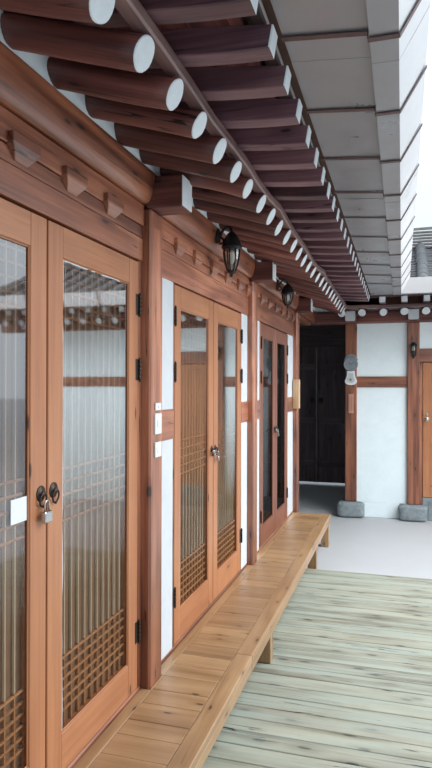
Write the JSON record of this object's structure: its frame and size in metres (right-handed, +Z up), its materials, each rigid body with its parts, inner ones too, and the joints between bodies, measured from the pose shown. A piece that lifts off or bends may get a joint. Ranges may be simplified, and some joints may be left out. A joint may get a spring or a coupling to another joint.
{
  "type": "hanok courtyard house",
  "caption": "Single-storey timber courtyard house with glazed double doors, a bench porch, deep raftered eaves, a corner gate hall and an L-shaped tiled roof.",
  "frame": {"origin": "middle of the whole house's box, at ground level", "axes": "+Z up; +Y along the west wing towards the north wing and the gate; +X from the west wing's doors out over the court"},
  "size_m": [8.275, 11.345, 4.2],
  "materials": {
    "timber": "oiled red pine, open grain, satin",
    "gate_timber": "dark stained boards",
    "door_wood": "varnished, satin",
    "glass": "clear, polished",
    "bench_pine": "honey varnished pine boards, satin",
    "deck_board": "weathered grey-green softwood",
    "plaster": "white lime plaster between timbers",
    "stone": "rough granite and lime plaster",
    "roof_tile": "fired grey clay tile, matt",
    "eaves_metal": "taupe coated sheet, satin"
  },
  "bodies": {
    "root": {"wing_rafters": "timber", "end_rafters": "timber", "wing_flying_rafters": "timber", "end_flying_rafters": "timber", "west_rafters": "timber", "north_rafters": "timber", "wing_floor": "timber", "wing_post_1": "timber", "wing_post_2": "timber", "wing_post_3": "timber", "wing_post_4": "timber", "wing_lintel": "timber", "wing_purlin": "timber", "end_wall_left": "timber", "end_wall_right": "timber", "end_door_head": "timber", "end_beam": "timber", "gate_head": "timber", "bench": "bench_pine", "courtyard_deck": "deck_board", "south_wall": "plaster", "hall_south_wall": "plaster", "west_wall": "plaster", "north_wall_west": "plaster", "north_wall_east": "plaster", "hall_east_wall": "plaster", "east_wall": "plaster", "wing_base": "stone", "end_base": "stone", "wing_roof": "roof_tile", "end_roof": "roof_tile", "wing_ridge": "roof_tile", "end_ridge": "roof_tile", "wing_gutter": "eaves_metal", "end_gutter": "eaves_metal"},
    "leaf_1": {"door_leaf_1": "door_wood", "door_glass_1": "glass"},
    "leaf_2": {"door_leaf_2": "door_wood", "door_glass_2": "glass"},
    "leaf_3": {"door_leaf_3": "door_wood", "door_glass_3": "glass"},
    "leaf_4": {"door_leaf_4": "door_wood", "door_glass_4": "glass"},
    "leaf_5": {"door_leaf_5": "door_wood", "door_glass_5": "glass"},
    "leaf_6": {"door_leaf_6": "door_wood", "door_glass_6": "glass"},
    "end_door": {"end_door": "door_wood"},
    "gate_left": {"gate_leaf_left": "gate_timber"},
    "gate_right": {"gate_leaf_right": "gate_timber"}
  },
  "joints": [
    {"name": "leaf_1_hinge", "type": "hinge", "parent": "root", "child": "leaf_1", "pos_m": [-0.7295, -4.9845, 1.3], "axis": [0, 0, -1], "range_deg": [0, 95]},
    {"name": "leaf_2_hinge", "type": "hinge", "parent": "root", "child": "leaf_2", "pos_m": [-0.7295, -3.4725, 1.3], "axis": [0, 0, 1], "range_deg": [0, 95]},
    {"name": "leaf_3_hinge", "type": "hinge", "parent": "root", "child": "leaf_3", "pos_m": [-0.7295, -3.0085, 1.3], "axis": [0, 0, -1], "range_deg": [0, 95]},
    {"name": "leaf_4_hinge", "type": "hinge", "parent": "root", "child": "leaf_4", "pos_m": [-0.7295, -1.5925, 1.3], "axis": [0, 0, 1], "range_deg": [0, 95]},
    {"name": "leaf_5_hinge", "type": "hinge", "parent": "root", "child": "leaf_5", "pos_m": [-0.7295, -0.9195, 1.3], "axis": [0, 0, -1], "range_deg": [0, 95]},
    {"name": "leaf_6_hinge", "type": "hinge", "parent": "root", "child": "leaf_6", "pos_m": [-0.7295, 0.3365, 1.3], "axis": [0, 0, 1], "range_deg": [0, 95]},
    {"name": "end_door_hinge", "type": "hinge", "parent": "root", "child": "end_door", "pos_m": [1.4755, 2.2645, 1.15], "axis": [0, 0, 1], "range_deg": [0, 95]},
    {"name": "gate_left_hinge", "type": "hinge", "parent": "root", "child": "gate_left", "pos_m": [-1.7195, 4.7455, 1.2], "axis": [0, 0, -1], "range_deg": [0, 90]},
    {"name": "gate_right_hinge", "type": "hinge", "parent": "root", "child": "gate_right", "pos_m": [-0.3075, 4.7455, 1.2], "axis": [0, 0, 1], "range_deg": [0, 90]}
  ]
}
